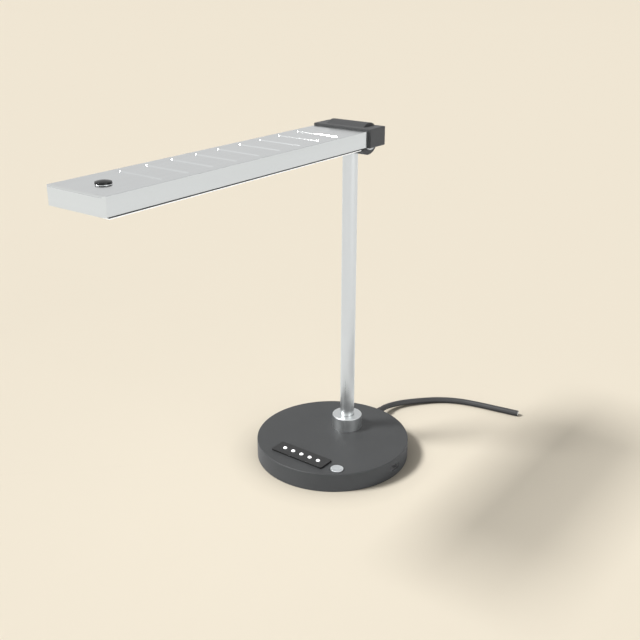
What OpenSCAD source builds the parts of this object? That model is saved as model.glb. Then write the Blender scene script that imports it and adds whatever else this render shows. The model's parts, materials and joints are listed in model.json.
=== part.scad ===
// Desk lamp: a round weighted base, a pole that swivels in a collar and a light bar that tilts on it.
// The origin is the centre of the base on the table, +Y is the rear where the cord leaves,
// and the light bar reaches towards -Y.

/* [Base] */
// Diameter of the round base
base_d = 181; // [176:1:200]
// Height of the base top above the table
base_h = 22.5; // [21.5:0.5:28]
// Thickness of the base shell's top
base_top_t = 3; // [2.5:0.1:3.5]
// Thickness of the base shell's side wall
base_side_t = 2.5; // [2:0.1:3.5]
// Radius of the base shell's top edge
base_edge_r = 1; // [0.5:0.1:2.4]
// Thickness of the bottom cover
cover_t = 2; // [1.6:0.1:2.4]
// Thickness of the steel weight
weight_t = 5; // [3:0.1:5.6]
// Thickness of the foot pad
pad_t = 1; // [0.8:0.1:2]
// Depth of the foot pad's seat in the bottom cover
pad_seat = 0.5; // [0.2:0.1:0.9]
// Width of the bottom cover's rim round the foot pad
pad_rim = 4; // [2:0.5:8]
// Distance from the hollow's wall in to the screw bosses
boss_inset = 17; // [14:0.5:19]
// Diameter of the screw bosses
boss_d = 9; // [7:0.5:10]

/* [Controls] */
// Distance from the front of the base back to the line of controls
control_set = 29.5; // [28:0.5:34]
// Length of the touch panel
panel_l = 72; // [66:1:74]
// Width of the touch panel
panel_w = 21; // [16:0.5:23]
// Height of the touch panel above the base
panel_t = 1.9; // [1:0.1:3]
// Corner radius of the touch panel
panel_r = 1.5; // [0.5:0.1:3]
// Spacing of the level lamps
dot_pitch = 12; // [9:0.5:13]
// Diameter of a level lamp's lens
dot_d = 4.7; // [3.5:0.1:6]
// Height of a lens above the touch panel
dot_h = 1.6; // [0.8:0.1:1.7]
// Diameter of the power button
button_d = 15; // [12:0.5:17]
// Gap between the power button and the inside of the base's wall
button_wall = 1.3; // [1.2:0.1:4]
// Height of the power button above the base
button_h = 1.4; // [1.3:0.1:2.5]
// Travel of the power button
button_travel = 1; // [0.5:0.1:1.2]

/* [Sockets and cord] */
// Width of the charging socket
usb_w = 13.1; // [12:0.1:14.5]
// Height of the charging socket
usb_h = 5.7; // [5:0.1:6.5]
// Length of the charging socket
usb_l = 14.5; // [12:0.5:18]
// Distance of the charging socket behind the middle of the right side
usb_y = -1; // [-3:0.5:3]
// Diameter of the cord
cord_d = 7.2; // [5:0.1:7.5]
// Height of the cord's exit above the table
cord_z = 9.2; // [9.2:0.1:11]
// Distance of the cord's exit to the right of the middle of the back
cord_x = -3; // [-8:0.5:8]
// Length of the strain relief outside the base
relief_l = 20; // [16:1:30]

/* [Pole] */
// Distance of the pole behind the base centre
pole_y = 30; // [26:0.5:34]
// Outer diameter of the pole
pole_d = 16.8; // [16:0.1:19]
// Wall thickness of the pole
pole_wall = 1.5; // [1:0.1:2]
// Diameter of the collar round the foot of the pole
collar_d = 35.6; // [35.5:0.1:42]
// Height of the collar
collar_h = 16.5; // [13:0.1:24]
// Height of the tilt axis above the table
axis_z = 376.4; // [300:0.1:450]
// Largest swivel to either side, in degrees
swivel_limit = 90; // [45:5:120]
// Diameter of the spindle that turns in the base
spindle_d = 12; // [10:0.5:12.5]

/* [Hinge] */
// Diameter of the hinge barrel on the pole
barrel_d = 34.2; // [31:0.1:34.6]
// Length of the hinge barrel
barrel_l = 48.8; // [40:0.1:50]
// Diameter of the hinge axle
axle_d = 5; // [4:0.1:5.4]
// Thickness of the steel bracket
bracket_t = 2; // [1.5:0.1:2.2]
// Radius of the bracket's round ears
ear_r = 11.5; // [10:0.1:12]
// Overhang of the hinge cover beyond the sides of the light bar
cover_side = 3; // [1.6:0.1:4]
// Height of the hinge cover above the top of the light bar
cover_rise = 2.15; // [1:0.05:3]
// Depth of the hinge cover below the bottom of the light bar's shell
cover_drop = 1.3; // [0.8:0.05:2]
// Distance of the hinge cover's front from the tilt axis
cover_front = 16.5; // [16.4:0.1:18]
// Distance of the hinge cover's rear from the tilt axis
cover_rear = 11.5; // [10:0.1:16]
// Radius of the hinge cover's rear and side edges
cover_edge_r = 1.4; // [0.6:0.1:1.6]
// Radius of the hinge cover's front edges
cover_front_r = 0.4; // [0.2:0.1:1]

/* [Light bar] */
// Width of the light bar
head_w = 68.6; // [67:0.1:76]
// Height of the light bar's shell
head_h = 16.6; // [15:0.05:19]
// Height of the tilt axis above the bottom of the shell
head_drop = 5.3; // [4.4:0.1:5.4]
// Reach of the light bar in front of the tilt axis
head_reach = 371.6; // [340:0.1:420]
// Thickness of the shell's top
head_top_t = 2; // [1.5:0.1:2.4]
// Thickness of the shell's sides
head_side_t = 1.8; // [1.4:0.1:2.2]
// Radius of the shell's long top edges
head_edge_r = 0.6; // [0.3:0.1:1.2]
// Thickness of the end cap's plate
end_cap_t = 3; // [2:0.1:4]
// Radius of the end cap's top front edge
end_edge_r = 1.6; // [0.3:0.1:1.9]
// Radius of the end cap's upright corners
end_corner_r = 2.8; // [0.3:0.1:3]
// Number of shallow grooves in the top
groove_count = 9; // [3:1:9]
// Spacing of the grooves
groove_pitch = 30.2; // [24:0.05:31]
// Distance of the rear groove in front of the tilt axis
groove_start = 62.2; // [40:0.1:64]
// Length of a groove
groove_l = 54.5; // [30:0.5:60]
// Width of a groove
groove_w = 4; // [2.6:0.1:5]
// Depth of a groove
groove_depth = 1; // [0.6:0.1:1.2]
// Slope of a groove's walls
groove_slope = 54; // [50:1:75]
// Thickness of the dark gasket above the diffuser
gasket_t = 1.3; // [0.5:0.1:1.5]
// Thickness of the diffuser
diffuser_t = 0.8; // [0.6:0.1:2]
// Length of the gasket's closed end behind the diffuser
gasket_end = 8.5; // [4:0.5:12]
// Distance of the gasket and diffuser in from the sides of the light bar
diffuser_inset = 0.4; // [0.2:0.1:0.8]
// Distance of the diffuser behind the front of the light bar
diffuser_set = 5; // [4:0.1:8]
// Width of the board that carries the light chips
led_board_w = 52; // [40:1:54]
// Distance of the light board behind the front of the light bar
led_set = 45; // [43:0.5:60]
// Light chips in each of the two rows
led_count = 24; // [8:1:30]

/* [Bar button] */
// Distance of the bar button behind the front of the light bar
knob_set = 30; // [27:0.5:34]
// Diameter of the bar button
knob_d = 13.9; // [11:0.1:16]
// Height of the bar button above the light bar
knob_h = 2.9; // [2.4:0.05:4]
// Height of the bar button's domed top
knob_dome = 1.2; // [0.6:0.1:1.3]
// Height of the bezel ring round the bar button
bezel_h = 0.3; // [0.3:0.1:1.2]
// Width of the bezel ring
bezel_w = 0.8; // [0.7:0.1:1.5]
// Travel of the bar button
knob_travel = 1; // [0.5:0.1:1.1]

/* [Hidden] */
$fn = 64;
// Overlap of a cutting shape past the face it cuts
cut = 0.02;
// Depth by which joined blocks of one piece reach into each other
join = 0.5;
// Radial play of fixed and running fits
fit = 0.05;
// Play round a piece that is set into another
seat = 0.2;
// Clearance between pieces that move past each other
gap = 0.3;

// Base levels and radii
base_r = base_d / 2;
shell_z = pad_t - pad_seat;
deck_z = shell_z + cover_t;
roof_z = base_h - base_top_t;
hollow_r = base_r - base_side_t;
pad_r = hollow_r - pad_rim;
boss_r = hollow_r - boss_inset;
boss_angles = [30, 150, 210, 330];
weight_r = hollow_r - 3;
weight_top = deck_z + weight_t;

// Screws: shank diameter, head diameter and head height
screw_d = 3;
screw_head_d = 5.4;
screw_head_h = 1.4;
small_screw_d = 2;
small_head_d = 3.8;
small_head_h = 1.2;
base_screw_l = 10;
board_screw_l = 3;

// Controls on the base
control_y = control_set - base_r;
dot_stem_d = dot_d - 1;
board_t = 1.6;
button_x = sqrt(pow(hollow_r - button_wall - button_d / 2, 2) - pow(control_y, 2));
button_flange_d = button_d + 1.8;
button_flange_t = 1.2;
button_edge_r = 0.5;
button_flange_z = roof_z - seat - button_flange_t;
switch_w = 7.5;
switch_h = 4.4;
switch_top = button_flange_z - button_travel - gap;
plunger_d = 3.4;
plunger_in = 1.5;
touch_top = switch_top - switch_h;
chip_h = 1.2;
post_d = 6;
post_x = panel_l / 2 - 1;
touch_board_over = 4;

// Charging socket and its board
usb_wall = 0.4;
usb_recess = 1.1;
usb_front = base_r - usb_recess;
tongue_t = 1.8;
tongue_l = 8.5;
tongue_root = 3;
standoff_h = 4.5;
standoff_d = 6;
power_z = deck_z + standoff_h;
power_top = power_z + board_t;
power_l = 47;
power_w = 44;
power_x = usb_front - usb_l / 2 - power_l / 2 + 1;
standoff_dx = power_l / 2 - 5;
standoff_dy = power_w / 2 - 4;
plug_w = 10;
plug_h = 6;
plug_lead_z = power_top + plug_h / 2;
plug_set = 10;
plug_in = 9;
plug_x = power_x - plug_set;
plug_y = usb_y + power_w / 2 - plug_in;
can_d = 8;
can_h = 7.5;
can_places = [[1, -13, 0], [11, -13, 0]];
coil = [12, 12, 6];
coil_place = [-17, -15, 0];
chip = [6, 8, 1.6];
chip_places = [[-17, -2, 0], [-3, -2, 0]];

// Strain relief and cord
relief_d = 10.6;
relief_tip_d = cord_d + 1.4;
relief_neck_d = 8.4;
relief_flange_t = 2;
relief_notch = 18;
relief_end = base_r + relief_l;
relief_in = sqrt(pow(hollow_r, 2) - pow(abs(cord_x) + relief_d / 2, 2)) - seat;
lead_d = 4;
lead_z = weight_top + lead_d / 2 + gap;
// Points of the cord from its exit: to the right, to the rear and up from the table
lying_z = cord_d / 2;
cord_points = [
    [0, 0, cord_z],
    [0, 8, cord_z],
    [0, 18, 7.6],
    [2.4, 29, 6.3],
    [7.2, 40, 5.6],
    [13.6, 50.3, 5],
    [21.4, 60.4, 4.6],
    [29.4, 69.8, 4.2],
    [38.4, 78.7, 3.9],
    [48.4, 86.1, 3.7],
    [59.5, 92, lying_z],
    [71.5, 96.5, lying_z],
    [84.5, 99.5, lying_z],
    [97.5, 102, lying_z],
    [110.5, 104, lying_z],
    [123.5, 106, lying_z],
    [133.5, 107.5, lying_z],
    [143.5, 109, lying_z]
];
cord_sides = 10;
// Points of the inner lead from the strain relief to the power board's plug
lead_points = [
    [cord_x, relief_in - relief_flange_t, cord_z],
    [cord_x, relief_in - relief_flange_t - 6, cord_z],
    [2, 70, lead_z],
    [13, 60, lead_z],
    [24, 50, lead_z + 0.5],
    [34, 40, lead_z + 1],
    [plug_x, plug_y + plug_w / 2 + 6, plug_lead_z],
    [plug_x, plug_y + plug_w / 2, plug_lead_z]
];
lead_sides = 8;

// Swivel
pole_r = pole_d / 2;
pole_bore_r = pole_r - pole_wall;
collar_r = collar_d / 2;
collar_edge_r = 0.8;
collar_lip_t = 1.5;
collar_top = base_h + collar_h;
bush_r = pole_r + 2.25;
bush_top = collar_top - collar_lip_t - 0.1;
thrust_t = 1;
flange_t = 2.5;
flange_z = base_h + thrust_t;
flange_r = bush_r - 1;
groove_r = pole_r - 0.55;
pole_foot = flange_z + flange_t;
spindle_r = spindle_d / 2;
friction_t = 1;
spring_h = 1.2;
spring_t = 0.6;
nut_h = 5;
nut_af = spindle_d + 7;
nut_room = 15;
nut_z = roof_z - friction_t - spring_h - nut_h;
spindle_end = nut_z - 1.3;
spindle_plug = 20;
stop_d = 2;
stop_tip_r = groove_r + gap;
stop_half_angle = asin(stop_d / 2 / stop_tip_r) + 1;
lug_half_angle = 180 - swivel_limit - stop_half_angle;
collar_screw_r = (bush_r + collar_r) / 2;
collar_screw_l = 8;
collar_screw_angles = [30, 150, 270];
cable_d = 5;
cable_bore_r = cable_d / 2 + gap;

// Hinge, measured from the tilt axis
barrel_r = barrel_d / 2;
barrel_edge = 0.6;
socket_z = -10.4;
spigot_l = 26;
spigot_r = pole_bore_r - fit;
pole_top = axis_z + socket_z - 0.1;
grub_d = 4;
grub_l = 4;
grub_z = -26.4;
hinge_bush_r = axle_d / 2 + 2;
hinge_bush_l = 12;
cable_end = -6;
washer_t = 0.5;
washer_r = 9;
ear_x = barrel_l / 2 + washer_t;
ear_out = ear_x + bracket_t;
web_back = -(barrel_r + 0.9);
web_front = web_back - bracket_t;
axle_r = axle_d / 2;
axle_head_r = axle_r + 2;
axle_head_t = 3;
axle_nut_af = axle_d + 3;
axle_nut_t = 3.5;
axle_spring_t = 1;
pocket_r = axle_head_r + 0.5;
pocket_out = ear_out + axle_spring_t + axle_nut_t + 1.1;
cover_screw_y = -11.5;
cover_screw_z = 3;
cover_screw_l = 9;
cover_screw_d = 2.5;
cover_screw_head = 4.8;
cover_screw_cone = 1.15;

// Light bar, measured from the tilt axis
bar_bottom = -head_drop;
bar_top = head_h - head_drop;
bar_front = -head_reach;
bar_rear = -15;
ceiling_z = bar_top - head_top_t;
groove_floor_r = groove_w / 2 - groove_depth / tan(groove_slope);
groove_brim_r = groove_w / 2 + cut / tan(groove_slope);
inside_x = head_w / 2 - head_side_t;
cover_x = head_w / 2 + cover_side;
cover_top = bar_top + cover_rise;
cover_bottom = bar_bottom - cover_drop;
shell_front = bar_front + end_cap_t;
port_r = 3.3;
port_web = 2;
port_x = ear_x - 5;
port_z = 3;
port_l = 17;
bar_screw_l = 13;
bar_screw_d = 3;
bar_screw_head_d = 5.2;
bar_screw_cone = 1.1;
end_plug_l = 8;
ledge_w = 1.2;
ledge_h = 1.4;
ledge_z = bar_bottom + 1.4;
leg_t = 1.5;
leg_x = inside_x - ledge_w - gap;
leg_top = ledge_z + ledge_h + 1.2;
bead_h = 1;
bead_w = 0.6;
gasket_x = head_w / 2 - diffuser_inset;
gasket_w = gasket_x - leg_x;
gasket_bottom = bar_bottom - gasket_t;
diffuser_bottom = gasket_bottom - diffuser_t;
diffuser_front = bar_front + diffuser_set;
gasket_rear = web_front - gap;
diffuser_rear = gasket_rear - gasket_end;
led_front = bar_front + led_set;
led_rear = web_front - port_l - 1;
led_margin = 6.5;
led_pitch = (led_rear - led_front - 2 * led_margin) / (led_count - 1);
led_row_x = led_board_w / 4;
led_chip = [3.5, 2.8, 0.8];
led_middle = (led_front + led_rear) / 2;
link_w = 10;
link_h = 6;
link_rear = led_rear - 1;
link_lead_d = 3.6;
link_lead_z = 3;

// Bar button
knob_y = bar_front + knob_set;
knob_r = knob_d / 2;
knob_skirt = 1;
well_r = knob_r + 0.25;
well_z = bar_top - knob_skirt - knob_travel - gap;
body_r = well_r + 0.5;
bezel_r = well_r + bezel_w;
bezel_edge_r = min(0.3, bezel_h / 2);
stem_r = 2.5;
stem_l = 6;
body_bottom = well_z - stem_l - 2;
body_nut_af = 2 * body_r + 3.6;
body_nut_t = 3;

// Block between two opposite corners
module span(low, high) {
    translate(low) cube(high - low);
}

// Ring or tube standing on the XY plane
module ring(r, bore, h) {
    difference() {
        cylinder(r = r, h = h);
        translate([0, 0, -cut]) cylinder(r = bore, h = h + 2 * cut);
    }
}

// Disc whose top edge is rounded
module rounded_disc(r, h, edge) {
    cylinder(r = r - edge, h = h);
    cylinder(r = r, h = h - edge);
    translate([0, 0, h - edge]) rotate_extrude() translate([r - edge, 0]) circle(r = edge);
}

// Rectangle with round corners, centred
module rounded_square(w, h, r) {
    square([w - 2 * r, h], center = true);
    square([w, h - 2 * r], center = true);
    for (x = [-1, 1], y = [-1, 1])
        translate([x * (w / 2 - r), y * (h / 2 - r)]) circle(r = r);
}

// Rectangle, centred, with one corner radius at its lower edge and another at its upper edge
module two_radius_square(w, h, low_r, high_r) {
    translate([-w / 2, low_r - h / 2]) square([w, h - low_r - high_r]);
    translate([low_r - w / 2, -h / 2]) square([w - 2 * low_r, h / 2]);
    translate([high_r - w / 2, 0]) square([w - 2 * high_r, h / 2]);
    for (x = [-1, 1]) {
        translate([x * (w / 2 - low_r), low_r - h / 2]) circle(r = low_r);
        translate([x * (w / 2 - high_r), h / 2 - high_r]) circle(r = high_r);
    }
}

// Cap of a sphere, of height h on a circle of radius r
module dome(r, h) {
    ball = (r * r + h * h) / (2 * h);
    intersection() {
        translate([0, 0, h - ball]) sphere(r = ball);
        cylinder(r = r + 1, h = h + 1);
    }
}

// Shapes along +Z turned to run along +X or +Y
module along_x() {
    rotate([0, 90, 0]) children();
}

module along_y() {
    rotate([-90, 0, 0]) children();
}

module both_sides() {
    children();
    mirror([1, 0, 0]) children();
}

// Places that several pieces share
module at_pole(z) {
    translate([0, pole_y, z]) children();
}

module at_axis() {
    translate([0, pole_y, axis_z]) children();
}

module at_bosses(z) {
    for (a = boss_angles) rotate(a) translate([boss_r, 0, z]) children();
}

module at_dots(z) {
    for (i = [-2:2]) translate([i * dot_pitch, control_y, z]) children();
}

module at_button(z) {
    translate([button_x, control_y, z]) children();
}

module at_posts(z) {
    for (side = [-1, 1]) translate([side * post_x, control_y, z]) children();
}

module at_standoffs(z) {
    for (x = [-1, 1], y = [-1, 1])
        translate([power_x + x * standoff_dx, usb_y + y * standoff_dy, z]) children();
}

module at_collar_screws(z) {
    for (a = collar_screw_angles) at_pole(z) rotate(a) translate([collar_screw_r, 0, 0]) children();
}

module at_knob(z) {
    at_axis() translate([0, knob_y, z]) children();
}

// Screw whose flat head is sunk, pointing along +Z with its head at the bottom
module sunk_screw(d, head_d, cone_h, l) {
    cylinder(d1 = head_d, d2 = d, h = cone_h);
    cylinder(d = d, h = l);
}

// Screw whose head stands below the XY plane and whose shank points along +Z
module pan_screw(d, head_d, head_h, l) {
    translate([0, 0, -head_h]) cylinder(d = head_d, h = head_h);
    translate([0, 0, -head_h / 2]) cylinder(d = d, h = l + head_h / 2);
}

// Direction of a route at one of its points
function route_dir(path, i) =
    let (d = path[min(i + 1, len(path) - 1)] - path[max(i - 1, 0)])
    d / norm(d);

// Ring of points round one point of a route
function route_ring(path, i, r, n) =
    let (
        d = route_dir(path, i),
        across = cross(d, [0, 0, 1]),
        side = across / norm(across),
        up = cross(side, d)
    )
    [for (k = [0:n - 1]) path[i] + r * (cos(360 * k / n) * up + sin(360 * k / n) * side)];

// Tube of n sides along a route
module route_tube(path, d, n) {
    last = len(path) - 1;
    points = [for (i = [0:last]) each route_ring(path, i, d / 2, n)];
    walls = [
        for (i = [0:last - 1], k = [0:n - 1])
            let (
                a = i * n + k,
                b = i * n + (k + 1) % n
            )
            each [[a, b, b + n], [a, b + n, a + n]]
    ];
    start_cap = [for (k = [1:n - 2]) [0, k + 1, k]];
    end_cap = [for (k = [1:n - 2]) [last * n, last * n + k, last * n + k + 1]];
    polyhedron(points = points, faces = concat(walls, start_cap, end_cap));
}

// Base

module base_shell() {
    color("#5d5f5f")
    difference() {
        union() {
            difference() {
                translate([0, 0, shell_z]) rounded_disc(base_r, base_h - shell_z, base_edge_r);
                translate([0, 0, shell_z - cut]) cylinder(r = hollow_r, h = roof_z - shell_z + cut);
            }
            at_bosses(deck_z) cylinder(d = boss_d, h = roof_z - deck_z + cut);
            at_posts(touch_top) cylinder(d = post_d, h = roof_z - touch_top + cut);
        }
        at_bosses(deck_z - cut) cylinder(d = screw_d + 2 * fit, h = base_screw_l);
        at_posts(touch_top - cut) cylinder(d = small_screw_d + 2 * fit, h = board_screw_l);
        at_dots(roof_z - cut) cylinder(d = dot_stem_d + 2 * seat, h = base_top_t + 2 * cut);
        at_button(roof_z - cut) cylinder(d = button_d + 2 * gap, h = base_top_t + 2 * cut);
        at_pole(roof_z - cut) cylinder(r = spindle_r + fit, h = base_top_t + 2 * cut);
        at_collar_screws(roof_z - cut) cylinder(d = screw_d + 2 * fit, h = base_top_t + 2 * cut);
        translate([hollow_r - base_side_t, usb_y - usb_w / 2 - seat, power_top - seat])
            cube([2 * base_side_t + 1, usb_w + 2 * seat, usb_h + 2 * seat]);
        translate([cord_x, hollow_r - base_side_t, cord_z])
            along_y() cylinder(d = relief_neck_d + 2 * fit, h = 2 * base_side_t + 1);
    }
}

module base_cover() {
    color("#3c3d3e")
    difference() {
        union() {
            translate([0, 0, shell_z]) cylinder(r = hollow_r - seat, h = cover_t);
            at_standoffs(deck_z - cut) cylinder(d = standoff_d, h = standoff_h + cut);
        }
        translate([0, 0, shell_z - cut]) cylinder(r = pad_r + seat, h = pad_seat + cut);
        at_bosses(shell_z + pad_seat - fit)
            sunk_screw(screw_d + 2 * seat, screw_head_d + 2 * fit, screw_head_h + fit, cover_t);
        at_standoffs(power_z - board_screw_l)
            cylinder(d = small_screw_d + 2 * fit, h = board_screw_l + cut);
    }
}

module base_weight() {
    color("#7d7f82")
    difference() {
        translate([0, 0, deck_z]) cylinder(r = weight_r, h = weight_t);
        at_bosses(deck_z - cut) cylinder(d = boss_d + 2, h = weight_t + 2 * cut);
        at_posts(deck_z - cut) cylinder(d = post_d, h = weight_t + 2 * cut);
        at_pole(deck_z - cut) cylinder(d = nut_af + nut_room, h = weight_t + 2 * cut);
        translate([power_x - power_l / 2 - 2, usb_y - power_w / 2 - 2, deck_z - cut])
            cube([base_r, power_w + 4, weight_t + 2 * cut]);
        translate([cord_x - relief_d, hollow_r - relief_notch, deck_z - cut])
            cube([2 * relief_d, base_r, weight_t + 2 * cut]);
    }
}

module foot_pad() {
    color("#232323") cylinder(r = pad_r, h = pad_t);
}

module base_screws() {
    color("silver")
    at_bosses(shell_z + pad_seat)
        sunk_screw(screw_d, screw_head_d, screw_head_h, base_screw_l + cover_t - pad_seat - 1);
}

module touch_panel() {
    color("#2c2d2e")
    difference() {
        translate([0, control_y, base_h])
            linear_extrude(panel_t) rounded_square(panel_l, panel_w, panel_r);
        at_dots(base_h - cut) cylinder(d = dot_stem_d + 2 * fit, h = panel_t + 2 * cut);
    }
}

module level_lens(i) {
    stem_z = touch_top + chip_h + gap;
    panel_top = base_h + panel_t;
    color("white")
    translate([(i - 3) * dot_pitch, control_y, 0]) {
        translate([0, 0, panel_top]) dome(dot_d / 2, dot_h);
        translate([0, 0, stem_z]) cylinder(d = dot_stem_d, h = panel_top - stem_z + cut);
    }
}

module touch_board() {
    left = -panel_l / 2 - touch_board_over;
    right = button_x + switch_w / 2 + touch_board_over;
    half_w = panel_w / 2 - 1;
    color("#1f5a37")
    difference() {
        intersection() {
            span([left, control_y - half_w, touch_top - board_t], [right, control_y + half_w, touch_top]);
            cylinder(r = hollow_r - 2, h = base_h);
        }
        at_posts(touch_top - board_t - cut) cylinder(d = small_screw_d + 2 * seat, h = board_t + 2 * cut);
    }
}

module level_chips() {
    color("#f4f0d8") at_dots(touch_top + chip_h / 2) cube([3, 3, chip_h], center = true);
}

module power_button() {
    color("#d7d9da")
    at_button(button_flange_z) {
        cylinder(d = button_flange_d, h = button_flange_t);
        rounded_disc(button_d / 2, base_h + button_h - button_flange_z, button_edge_r);
    }
}

module power_switch() {
    bore_l = plunger_in + button_travel + gap;
    color("#2a2a2c")
    difference() {
        at_button(touch_top + switch_h / 2) cube([switch_w, switch_w, switch_h], center = true);
        at_button(switch_top - bore_l) cylinder(r = plunger_d / 2 + fit, h = bore_l + cut);
    }
}

module switch_plunger() {
    color("#e8e8e4")
    at_button(switch_top - plunger_in)
        cylinder(d = plunger_d, h = button_flange_z - switch_top + plunger_in);
}

module usb_socket() {
    color("silver")
    translate([usb_front - usb_l, usb_y, power_top])
    difference() {
        translate([0, -usb_w / 2, 0]) cube([usb_l, usb_w, usb_h]);
        translate([usb_wall, usb_wall - usb_w / 2, usb_wall])
            cube([usb_l, usb_w - 2 * usb_wall, usb_h - 2 * usb_wall]);
    }
}

module usb_tongue() {
    inner_w = usb_w - 2 * usb_wall - 2 * fit;
    inner_h = usb_h - 2 * usb_wall - 2 * fit;
    color("#e9e9e6")
    translate([usb_front - usb_l + usb_wall, usb_y, power_top + usb_h / 2]) {
        translate([tongue_root / 2, 0, 0]) cube([tongue_root, inner_w, inner_h], center = true);
        translate([0, 1 - inner_w / 2, inner_h / 2 - tongue_t - 0.4])
            cube([tongue_root + tongue_l, inner_w - 2, tongue_t]);
    }
}

module power_board() {
    color("#1f5a37")
    difference() {
        intersection() {
            translate([power_x - power_l / 2, usb_y - power_w / 2, power_z])
                cube([power_l, power_w, board_t]);
            cylinder(r = hollow_r - 2, h = base_h);
        }
        at_standoffs(power_z - cut) cylinder(d = small_screw_d + 2 * seat, h = board_t + 2 * cut);
    }
}

module board_parts() {
    color("#26262a")
    translate([power_x, usb_y, power_top]) {
        for (place = can_places) translate(place) cylinder(d = can_d, h = can_h);
        for (place = chip_places) translate(place) cube(chip);
        translate(coil_place) cube(coil);
        translate([plug_x - power_x - plug_w / 2, plug_y - usb_y - plug_w / 2, 0])
            cube([plug_w, plug_w, plug_h]);
    }
}

module board_screws() {
    color("silver") {
        at_posts(touch_top - board_t)
            pan_screw(small_screw_d, small_head_d, small_head_h, board_t + board_screw_l - 1);
        at_standoffs(power_top) mirror([0, 0, 1])
            pan_screw(small_screw_d, small_head_d, small_head_h, board_t + board_screw_l - 1);
    }
}

module strain_relief() {
    color("#2b2b2c")
    translate([cord_x, 0, cord_z]) along_y() {
        translate([0, 0, relief_in - relief_flange_t]) cylinder(d = relief_d, h = relief_flange_t);
        translate([0, 0, relief_in - cut]) cylinder(d = relief_neck_d, h = base_r - relief_in + 1);
        translate([0, 0, base_r + fit]) cylinder(d = relief_d, h = relief_flange_t);
        translate([0, 0, base_r + relief_flange_t])
            cylinder(d1 = relief_d - 1, d2 = relief_tip_d, h = relief_l - relief_flange_t);
    }
}

module cord() {
    color("#555657")
    route_tube([for (p = cord_points) p + [cord_x, relief_end, 0]], cord_d, cord_sides);
}

module inner_lead() {
    color("#2b2b2c") route_tube(lead_points, lead_d, lead_sides);
}

// Swivel and pole

module collar() {
    color("#c9cccc")
    difference() {
        at_pole(base_h) rounded_disc(collar_r, collar_h, collar_edge_r);
        at_pole(base_h - cut) cylinder(r = bush_r + fit, h = collar_h - collar_lip_t + cut);
        at_pole(base_h) cylinder(r = pole_r + gap, h = collar_h + cut);
        at_collar_screws(base_h - cut) cylinder(d = screw_d + 2 * fit, h = collar_screw_l);
        at_pole(flange_z + flange_t / 2) along_y() cylinder(d = stop_d + 2 * fit, h = collar_r + 1);
    }
}

module collar_screws() {
    color("silver")
    at_collar_screws(roof_z)
        pan_screw(screw_d, screw_head_d, screw_head_h, base_top_t + collar_screw_l - 1);
}

module swivel_bush() {
    color("#efeee8")
    at_pole(pole_foot + gap) ring(bush_r, pole_r + fit, bush_top - pole_foot - gap);
}

module thrust_washer() {
    color("#efeee8") at_pole(base_h) ring(flange_r, spindle_r + fit, thrust_t);
}

module friction_washer() {
    color("#d8c9a0") at_pole(roof_z - friction_t) ring(nut_af / 2 + 1, spindle_r + fit, friction_t);
}

module stop_screw() {
    color("silver")
    at_pole(flange_z + flange_t / 2) along_y()
        translate([0, 0, stop_tip_r]) cylinder(d = stop_d, h = collar_r - stop_tip_r - 0.3);
}

module pole_tube() {
    color("#d5d8d8")
    difference() {
        at_pole(pole_foot) ring(pole_r, pole_bore_r, pole_top - pole_foot);
        at_axis() translate([0, 0, grub_z]) along_y() cylinder(d = grub_d + 2 * fit, h = pole_d);
    }
}

module swivel_spindle() {
    color("silver")
    difference() {
        union() {
            at_pole(spindle_end) cylinder(r = spindle_r, h = flange_z - spindle_end + cut);
            at_pole(flange_z) cylinder(r = groove_r, h = flange_t);
            at_pole(flange_z) rotate(270 - lug_half_angle)
                rotate_extrude(angle = 2 * lug_half_angle)
                    translate([groove_r - 1, 0]) square([flange_r - groove_r + 1, flange_t]);
            at_pole(pole_foot - cut) cylinder(r = pole_bore_r - fit, h = spindle_plug);
        }
        at_pole(spindle_end - cut)
            cylinder(r = cable_bore_r, h = spindle_plug + pole_foot - spindle_end + 1);
    }
}

module disc_spring() {
    outline = [
        [spindle_r + fit, spring_h],
        [spindle_r + fit, spring_h - spring_t],
        [nut_af / 2, 0],
        [nut_af / 2, spring_t]
    ];
    color("#8b8d90") at_pole(nut_z + nut_h) rotate_extrude() polygon(outline);
}

module swivel_nut() {
    color("silver")
    difference() {
        at_pole(nut_z) cylinder(d = nut_af / cos(30), h = nut_h, $fn = 6);
        at_pole(nut_z - cut) cylinder(r = spindle_r + fit, h = nut_h + 2 * cut);
    }
}

module pole_cable() {
    color("#2b2b2c")
    at_pole(spindle_end) cylinder(d = cable_d, h = axis_z + cable_end - spindle_end);
}

// Hinge

module hinge_barrel() {
    half = barrel_l / 2;
    outline = [
        [0, -half],
        [barrel_r - barrel_edge, -half],
        [barrel_r, barrel_edge - half],
        [barrel_r, half - barrel_edge],
        [barrel_r - barrel_edge, half],
        [0, half]
    ];
    color("#515253")
    at_axis()
    difference() {
        union() {
            difference() {
                along_x() rotate_extrude() polygon(outline);
                translate([0, 0, -2 * barrel_r]) cylinder(r = pole_r + fit, h = 2 * barrel_r + socket_z);
            }
            translate([0, 0, socket_z - spigot_l]) cylinder(r = spigot_r, h = spigot_l + 1);
        }
        translate([-half - 1, 0, 0]) along_x() cylinder(r = hinge_bush_r + fit, h = barrel_l + 2);
        translate([0, 0, socket_z - spigot_l - 1])
            cylinder(r = cable_bore_r, h = spigot_l + 1 - socket_z + cable_end + gap);
        translate([0, 0, grub_z]) along_y() cylinder(d = grub_d + 2 * fit, h = pole_d);
        span([-cable_bore_r, -barrel_r - 1, socket_z + 1], [cable_bore_r, 0, cable_end + gap]);
    }
}

module hinge_bushes() {
    color("#efeee8")
    at_axis() both_sides()
        translate([barrel_l / 2 - hinge_bush_l, 0, 0]) along_x()
            ring(hinge_bush_r, axle_r + fit, hinge_bush_l);
}

module barrel_grub_screw() {
    color("#3a3a3c")
    at_axis() translate([0, pole_r - grub_l, grub_z]) along_y() cylinder(d = grub_d, h = grub_l - 0.1);
}

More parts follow.
